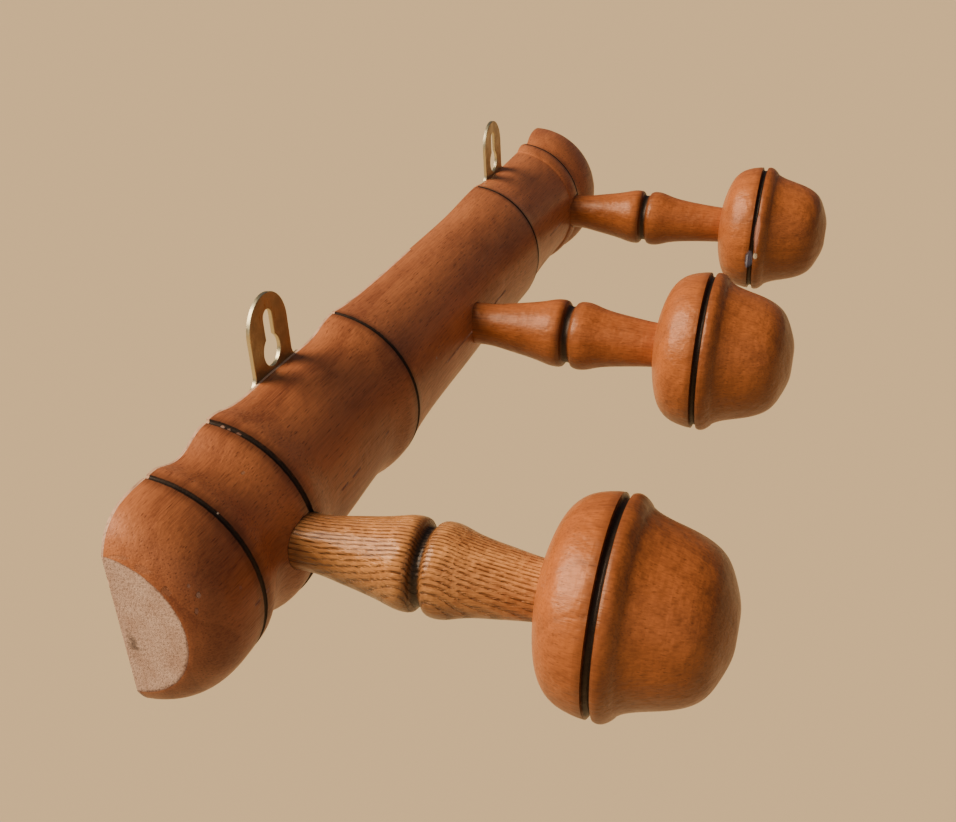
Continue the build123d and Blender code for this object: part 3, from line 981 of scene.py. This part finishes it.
# ---- the rail ---------------------------------------------------------------
# Knocks and rubbed places: middle, half sizes, the colour that shows, and how much of it.
RAIL_WEAR = (
    ((-163.0, -20.4, -20.1), (0.6, 0.45, 0.8), "#D09C7A", 0.8),
    ((-164.3, -20.1, -23.3), (0.5, 0.35, 0.8), "#BE8668", 0.7),
    ((-163.4, -18.8, -17.8), (0.4, 0.3, 0.5), "#C08A6C", 0.7),
    ((-155.0, -25.0, -23.3), (0.5, 0.5, 0.4), "#B98466", 0.7),
    ((-147.7, -17.4, -10.6), (0.3, 0.3, 0.25), "#D9BFA6", 0.9),
    ((-132.6, -14.9, -10.0), (0.6, 0.4, 0.35), "#C08C68", 0.7),
    ((-123.9, -5.4, -4.2), (0.5, 0.6, 0.4), "#C49A84", 0.75),
    ((-123.9, -7.0, -4.8), (0.4, 0.5, 0.4), "#B08570", 0.7),
    ((-123.9, -9.2, -5.6), (0.4, 1.0, 0.5), "#A87C68", 0.65),
    ((-37.3, -24.0, -24.9), (0.7, 0.5, 0.5), "#C7A488", 0.8),
    ((-165.6, -4.0, -11.6), (0.5, 3.4, 0.5), "#B07A58", 0.35),
    ((-165.6, -10.0, -13.8), (0.6, 2.6, 1.0), "#A87050", 0.3),
    ((-165.6, -14.4, -18.4), (0.5, 1.6, 1.2), "#A8714F", 0.4),
)


@dataclass
class Rail:
    """The sawn spindle with its scorched grooves. Its nodes are where the grooves are."""

    start: float = -166.2
    end: float = 167.0
    nodes: tuple[float, ...] = (-148.3, -124.2, -57.7, 68.0, 131.5)
    saw_offset: float = 1.8
    axis_y: float = 0.6
    axis_z: float = -29.8
    groove_half: float = 0.65
    groove_depth: float = 0.55
    steps_round: int = 110
    spacing: float = 1.25
    unevenness: float = 0.16
    shape_seed: float = 3.0
    wood_seed: float = 1.0
    end_rings: int = 16
    pith_y: float = 38.0
    pith_z: float = -14.0
    smudge_y: float = -3.4
    smudge_z: float = -5.0

    def template(self) -> Template:
        """Draws the spindle: a swelling on both sides of every groove.

        Returns:
            The template along the rail.
        """
        g1, g2, g3, g4, g5 = self.nodes
        half, depth, step = self.groove_half, self.groove_depth, self.spacing
        lengths = [
            [(self.start, 18.4), (g1 - 15.6, 22.4), (g1 - 12.0, 25.1), (g1 - 6.5, 26.4), (g1 - half, 26.5)],
            [(g1 + half, 26.5), (g1 + 3.4, 26.4), (g1 + 8.4, 24.7), (g1 + 12.2, 24.3), (g1 + 16.4, 25.4),
             (g1 + 20.0, 26.7), (g2 - half, 26.9)],
            [(g2 + half, 27.2), (g2 + 3.4, 27.1), (g2 + 8.5, 25.9), (g2 + 26.0, 24.9), (g2 + 46.0, 24.4),
             (g3 - 11.0, 24.9), (g3 - 5.5, 26.1), (g3 - half, 26.5)],
            [(g3 + half, 26.5), (g3 + 4.5, 26.0), (g3 + 14.0, 25.3), (g3 + 62.0, 24.8), (g4 - 26.0, 25.1),
             (g4 - 11.0, 26.0), (g4 - half, 26.3)],
            [(g4 + half, 26.2), (g4 + 5.0, 25.5), (g4 + 16.0, 24.9), (g4 + 36.0, 24.7), (g5 - 8.6, 25.1)],
        ]
        points: list[tuple[float, float]] = []
        for knots, groove, following in zip(lengths, self.nodes, lengths[1:]):
            points += spline(knots, step)
            points += hollow(groove, knots[-1][1], following[0][1], half, depth)
        points += spline(lengths[-1], step)
        points += spline([(g5 - 8.2, 25.6), (g5 - 4.5, 26.5), (g5 - half, 26.4)], step)
        points += hollow(g5, 26.4, 26.3, half, depth)
        points += spline([(g5 + half, 26.3), (g5 + 3.6, 25.2), (g5 + 6.0, 25.4)], step)
        points += spline(
            [(g5 + 6.0, 25.4), (g5 + 9.5, 27.2), (g5 + 16.0, 28.3), (g5 + 23.5, 27.6), (g5 + 30.5, 23.9),
             (self.end, 15.0)], step,
        )[1:]
        return Template(points, list(self.nodes), cap_rings=self.end_rings)

    def build(self, lathe: Lathe, bores: list[bpy.types.Mesh]) -> bpy.types.Object:
        """Turns, saws, bores and dresses the rail.

        Args:
            lathe: the lathe.
            bores: closed meshes of the holes for pegs and screws.

        Returns:
            The rail.
        """
        worn = tuple(Worn(at, size, shade, strength) for at, size, shade, strength in RAIL_WEAR)
        pith = (0.0, self.axis_y + self.pith_y, self.axis_z + self.pith_z)
        smudge = (self.start, self.smudge_y, self.axis_z + self.smudge_z)
        wood = STAINED_BEECH.dress("stained beech, rail", GrainPlace(pith), worn, seed=self.wood_seed)
        bare = SawnBeech().dress("bare sawn beech", pith, smudge)
        sizes = {
            "Steps Round": self.steps_round, "Sawn": True, "Axis To Saw": self.saw_offset * MM,
            "Unevenness": self.unevenness * MM, "Seed": self.shape_seed, "Surface": wood,
            "Sawn Surface": bare,
        }
        place = Matrix.Translation((0, self.axis_y * MM, self.axis_z * MM))
        piece = lathe.turn("rail_turned", self.template(), place, sizes)
        piece = cut(piece, bores)
        crisp(piece)
        hand_over(piece, "rail")
        return piece


# ---- the pegs ---------------------------------------------------------------
@dataclass
class Peg:
    """One peg: a waisted stem with a bun knob on its end.

    Distances run along the peg from the rail's turning axis.
    """

    name: str
    x: float
    rise: float
    reach: float
    droop: float
    stem_wood: TurnedWood
    stem_wood_name: str
    pith: tuple[float, float, float]
    seed: float
    worn: tuple[Worn, ...] = ()
    steps_round: int = 96
    spacing: float = 0.8
    unevenness: float = 0.1
    axis_y: float = 0.6
    axis_z: float = -29.8
    root_radius: float = 6.9
    root_start: float = 8.0
    waist: float = 56.4
    knob_back: float = 83.6
    knob_groove: float = 98.6
    knob_front: float = 125.3
    tenon_radius: float = 5.0
    tenon_length: float = 18.0
    tenon_chamfer: float = 0.8
    bore_length: float = 40.0
    glue_gap: float = 0.05
    end_gap: float = 0.5
    stem_burn: tuple[float, float] = (0.2, 1.7)
    knob_burn: tuple[float, float] = (0.5, 0.85)
    knob_steps_round: int = 112

    def place(self) -> Matrix:
        """Finds the peg's place: its X axis points out of the rail and a little down.

        Returns:
            The place, in metres.
        """
        foot = Vector((self.x, self.axis_y, self.axis_z + self.rise)) * MM
        lean = Euler((math.radians(self.droop), 0, 0)).to_matrix().to_4x4()
        return Matrix.Translation(foot) @ lean @ AWAY_FROM_WALL

    def grain(self) -> GrainPlace:
        """Lays the billet's grain along the peg.

        Returns:
            The pith and the turn of the grain.
        """
        place = self.place()
        pith = place @ (Vector(self.pith) * MM)
        return GrainPlace(tuple(v / MM for v in pith), tuple(place.to_euler()))

    def bore(self) -> bpy.types.Mesh:
        """Makes the hole that the stem's tenon is glued into."""
        inner = Matrix.Translation(((self.root_start - self.end_gap) * MM, 0, 0))
        return rod(self.root_radius + self.glue_gap, self.bore_length, self.place() @ inner)

    def stem(self, lathe: Lathe) -> bpy.types.Object:
        """Turns and dresses the stem: two flared cones that meet at a groove.

        Args:
            lathe: the lathe.

        Returns:
            The stem.
        """
        w, step, shoulder = self.waist, self.spacing, self.knob_back + self.reach
        root, start, chamfer = self.root_radius, self.root_start, self.tenon_chamfer
        tenon, tip = self.tenon_radius, shoulder + self.tenon_length
        points = [(start, 0.0), (start, root - chamfer), (start + chamfer, root), (14.0, root), (21.0, root)]
        points += spline(
            [(28.0, root), (36.0, 7.9), (47.8, 10.2), (w - 3.4, 11.1), (w - 1.4, 10.3)], step,
            leave=(1, 0), arrive=(0.35, -1),
        )
        points += hollow(w, 10.3, 10.0, 1.4, 0.8)
        points += spline(
            [(w + 1.4, 10.0), (w + 4.2, 11.1), (w + 9.4, 9.9), (w + 18.6, 8.2), (shoulder, 7.1)], step,
            leave=(0.35, 1), arrive=(1, -0.06),
        )
        points += [(shoulder, tenon), (tip - chamfer, tenon), (tip, tenon - chamfer), (tip, 0.0)]
        wood = self.stem_wood.dress(
            f"{self.stem_wood_name}, {self.name} stem", self.grain(), seed=self.seed, burn=self.stem_burn
        )
        sizes = {"Steps Round": self.steps_round, "Unevenness": self.unevenness * MM, "Seed": self.seed,
                 "Surface": wood}
        piece = lathe.turn(f"stem_{self.name}", Template(points, [w]), self.place(), sizes)
        hand_over(piece, f"peg_stem_{self.name}")
        return piece

    def knob(self, lathe: Lathe) -> bpy.types.Object:
        """Turns and dresses the knob: a bun, a groove, a lip and a rounded cone.

        Args:
            lathe: the lathe.

        Returns:
            The knob.
        """
        g, step, back, front = self.knob_groove, self.spacing, self.knob_back, self.knob_front
        lip_step = step * 0.6  # the lip is small and needs more points
        socket, bottom = self.tenon_radius + self.glue_gap, back + self.tenon_length + self.end_gap
        points = [(bottom, 0.0), (bottom, socket), (back, socket)]
        points += spline(
            [(back, 8.6), (g - 13.6, 14.9), (g - 11.5, 19.7), (g - 8.7, 22.5), (g - 4.6, 24.1),
             (g - 1.0, 24.6)], step,
            leave=(0.12, 1), arrive=(1, 0.02),
        )
        points += hollow(g, 24.6, 24.6, 1.0, 1.3)
        points += spline(
            [(g + 1.0, 24.6), (g + 2.6, 24.7), (g + 4.2, 23.7), (g + 5.2, 22.5)], lip_step,
            leave=(0.5, 0.3), arrive=(0.5, -1),
        )
        points += spline(
            [(g + 5.2, 22.5), (g + 7.4, 21.3), (g + 13.0, 19.6), (g + 18.2, 17.8), (g + 22.0, 15.2),
             (g + 24.9, 10.2), (front, 3.5)], step,
            leave=(1, -0.8), arrive=(0.03, -1),
        )[1:]
        points = [(x + self.reach, r) for x, r in [*points, (front, 0.0)]]
        # The knob's wood and its unevenness differ from the stem's.
        wood = HONEY_BEECH.dress(
            f"honey beech, {self.name} knob", self.grain(), self.worn, seed=self.seed + 20.0,
            burn=self.knob_burn,
        )
        sizes = {"Steps Round": self.knob_steps_round, "Unevenness": self.unevenness * MM,
                 "Seed": self.seed + 7.0, "Surface": wood}
        template = Template(points, [g + self.reach])
        piece = lathe.turn(f"bun_knob_{self.name}", template, self.place(), sizes)
        hand_over(piece, f"knob_{self.name}")
        return piece


# ---- the hangers ------------------------------------------------------------
class Side(Enum):
    """The two ends of the rail, with the way outward along X."""

    LEFT = -1
    RIGHT = 1


@dataclass
class Hanger:
    """A keyhole plate with its two wood screws."""

    side: Side
    plate_x: float = 91.0
    screw_gap: float = 19.0
    screw_z: float = -14.0
    sink: float = 0.05
    head_radius: float = 2.75
    head_depth: float = 1.15
    shank_radius: float = 1.5
    length: float = 14.0
    tip_length: float = 3.0
    tip_radius: float = 0.2
    thread_pitch: float = 1.3
    thread_depth: float = 0.38
    thread_gap: float = 1.5
    slot_half: float = 0.4
    slot_length: float = 8.0
    pilot_gap: float = 0.06
    pilot_spare: float = 1.0
    steps_round: int = 41
    shank_steps: int = 60
    tip_steps: int = 12

    def screw_place(self, outer: bool) -> Matrix:
        """Finds a screw's place: its X axis points from its head into the wood.

        Args:
            outer: True for the screw nearer the rail's end.

        Returns:
            The place, in metres.
        """
        way = self.side.value * (1 if outer else -1)
        x = self.side.value * self.plate_x + way * self.screw_gap / 2
        spot = Vector((x, -self.sink, self.screw_z)) * MM
        return Matrix.Translation(spot) @ AWAY_FROM_WALL

    def bores(self) -> list[bpy.types.Mesh]:
        """Makes the two pilot holes in the rail."""
        radius, depth = self.shank_radius + self.pilot_gap, self.length + self.pilot_spare
        return [rod(radius, depth, self.screw_place(outer), sides=32) for outer in (True, False)]

    def screw(self, lathe: Lathe, outer: bool, steel: bpy.types.Material) -> bpy.types.Object:
        """Turns one countersunk wood screw with its thread and cuts its slot.

        Args:
            lathe: the lathe.
            outer: True for the screw nearer the rail's end.
            steel: its material.

        Returns:
            The screw.
        """
        head, shank = self.head_depth, self.shank_radius
        tip = self.length - self.tip_length
        points = [(0.0, 0.0), (0.0, self.head_radius), (head, shank)]
        for i in range(1, self.shank_steps + 1):
            points.append((head + (tip - head) * i / self.shank_steps, shank))
        for i in range(1, self.tip_steps + 1):
            share = i / self.tip_steps
            points.append((tip + self.tip_length * share, shank * (1 - share) + self.tip_radius * share))
        points.append((self.length, 0.0))
        place = self.screw_place(outer)
        sizes = {"Steps Round": self.steps_round, "Surface": steel, "Thread Height": self.thread_depth * MM,
                 "Thread Pitch": self.thread_pitch * MM, "Thread Start": (head + self.thread_gap) * MM,
                 "Thread End": self.length * MM}
        where = "outer" if outer else "inner"
        side = self.side.name.lower()
        piece = lathe.turn(f"screw_{side}_{where}", Template(points), place, sizes)
        # A square rod across the head leaves a slot with a pointed bottom.
        across = Euler((0, 0, math.pi / 2)).to_matrix().to_4x4()
        start = place @ Matrix.Translation((0, -self.slot_length / 2 * MM, 0))
        piece = cut(piece, [rod(self.slot_half, self.slot_length, start @ across, sides=4)])
        crisp(piece)
        hand_over(piece, f"plate_screw_{side}_{where}")
        return piece

    def build(self, lathe: Lathe, brass: bpy.types.Material, steel: bpy.types.Material) -> None:
        """Dresses the plate and adds its screws.

        Args:
            lathe: the lathe.
            brass: the plate's material.
            steel: the screws' material.
        """
        plate = frame["nodes"][f"keyhole_plate_{self.side.name.lower()}"]
        plate.data.materials.clear()
        plate.data.materials.append(brass)
        log.info("%s: dressed", plate.name)
        for outer in (True, False):
            self.screw(lathe, outer, steel)


# ---- the studio -------------------------------------------------------------
@dataclass(frozen=True)
class Lamp:
    """A wide soft light far away, so that it falls evenly on rail and floor.

    It stands in the direction toward, seen from the rail. Its spread is the angle that it
    fills, in degrees, and its power is in watts for each square metre.
    """

    name: str
    toward: tuple[float, float, float]
    spread: float
    power: float
    shade: str

    def hang(self) -> None:
        """Adds the light to the scene."""
        lamp = bpy.data.lights.new(self.name, "SUN")
        lamp.angle, lamp.energy = math.radians(self.spread), self.power
        lamp.color = colour(self.shade)[:3]
        box = bpy.data.objects.new(self.name, lamp)
        box.rotation_euler = (-Vector(self.toward)).to_track_quat("-Z", "Y").to_euler()
        bpy.context.scene.collection.objects.link(box)


@dataclass
class Studio:
    """Floor, soft lights and camera.

    The floor's sizes and the camera's clip are in metres. The floor lies well below the
    rail and sends no scattered light back to it.
    """

    camera_at: tuple[float, float, float] = (-303.971, -135.725, 111.292)
    camera_turn: tuple[float, float, float] = (61.7156, 2.8649, -71.0859)
    lens: float = 39.665
    sensor: float = 36.0
    clip: tuple[float, float] = (0.01, 200.0)
    floor_drop: float = 0.55
    floor_half: float = 40.0
    floor_cells: int = 8
    floor_shade: str = "#DBC299"
    sky: str = "#D0D0DC"
    sky_strength: float = 0.16
    lamps: tuple[Lamp, ...] = (
        Lamp("key", (-0.31, 0.72, 0.62), 46.0, 5.8, "#FFEBD2"),
        Lamp("fill", (-0.8, -0.45, 0.3), 70.0, 0.26, "#ECECF4"),
    )

    def camera(self) -> None:
        """Stands the camera in front of the rail's sawn end, above it."""
        lens = bpy.data.cameras.new("camera")
        lens.lens, lens.sensor_width = self.lens, self.sensor
        lens.clip_start, lens.clip_end = self.clip
        eye = bpy.data.objects.new("camera", lens)
        eye.location = metres(self.camera_at)
        eye.rotation_euler = [math.radians(v) for v in self.camera_turn]
        bpy.context.scene.collection.objects.link(eye)
        bpy.context.scene.camera = eye

    def floor(self) -> None:
        """Lays a plain matt floor below the rail."""
        low, _ = CAD_BOX
        work = bmesh.new()
        bmesh.ops.create_grid(
            work, x_segments=self.floor_cells, y_segments=self.floor_cells, size=self.floor_half
        )
        mesh = bpy.data.meshes.new("floor")
        work.to_mesh(mesh)
        work.free()
        mesh.transform(Matrix.Translation((0, 0, low.z - self.floor_drop)))
        # Backdrop paper: cream, matt and without any gleam.
        material, tree = blank_material("matt floor")
        shader = add(tree, SHADER,
                     {"Base Color": colour(self.floor_shade), "Roughness": 1.0, "Specular IOR Level": 0.0})
        add(tree, OUTPUT, {"Surface": shader})
        mesh.materials.append(material)
        slab = bpy.data.objects.new("floor", mesh)
        slab.visible_diffuse = False
        bpy.context.scene.collection.objects.link(slab)

    def build(self) -> None:
        """Sets up the floor, the camera, the sky and the lights."""
        self.camera()
        self.floor()
        world = bpy.data.worlds.new("studio")
        world.use_nodes = True
        tree = world.node_tree
        tree.nodes.clear()
        glow = add(tree, "ShaderNodeBackground", {"Color": colour(self.sky), "Strength": self.sky_strength})
        add(tree, "ShaderNodeOutputWorld", {"Surface": glow})
        bpy.context.scene.world = world
        for lamp in self.lamps:
            lamp.hang()


def main() -> None:
    """Builds the rail, its pegs and its hangers, then the studio."""
    logging.basicConfig(level=logging.INFO, format="%(name)s: %(message)s")
    lathe = Lathe()
    pegs = [
        Peg("left", -127.1, 0.6, 0.0, 2.8, STAINED_ASH, "stained ash", (0.0, 21.0, 14.0), 2.0),
        Peg("middle", 1.0, 0.9, 1.1, 2.0, HONEY_BEECH, "honey beech", (0.0, 24.0, 10.0), 5.0,
            worn=(Worn((-2.5, -104.6, -10.0), (1.0, 0.5, 0.5), "#D39A70"),)),
        Peg("right", 128.3, -0.2, 4.6, 2.4, HONEY_BEECH, "honey beech", (0.0, -20.0, 16.0), 8.0,
            worn=(
                Worn((105.3, -101.6, -39.6), (3.0, 1.5, 4.6), "#B9B2B6", 0.95, 0.4),
                Worn((103.8, -104.1, -37.5), (1.6, 0.9, 1.5), "#F0D8AC", 0.95, 0.5),
                Worn((104.6, -104.0, -27.0), (3.4, 1.1, 10.0), "#B4806C", 0.7, 0.8),
            )),
    ]
    hangers = [Hanger(side) for side in Side]
    bores = [peg.bore() for peg in pegs]
    for hanger in hangers:
        bores += hanger.bores()
    Rail().build(lathe, bores)
    for peg in pegs:
        peg.stem(lathe)
        peg.knob(lathe)
    brass = BRASSED_STEEL.dress("brassed steel")
    steel = SCREW_STEEL.dress("screw steel")
    for hanger in hangers:
        hanger.build(lathe, brass, steel)
    Studio().build()


if __name__ == "__main__":
    main()
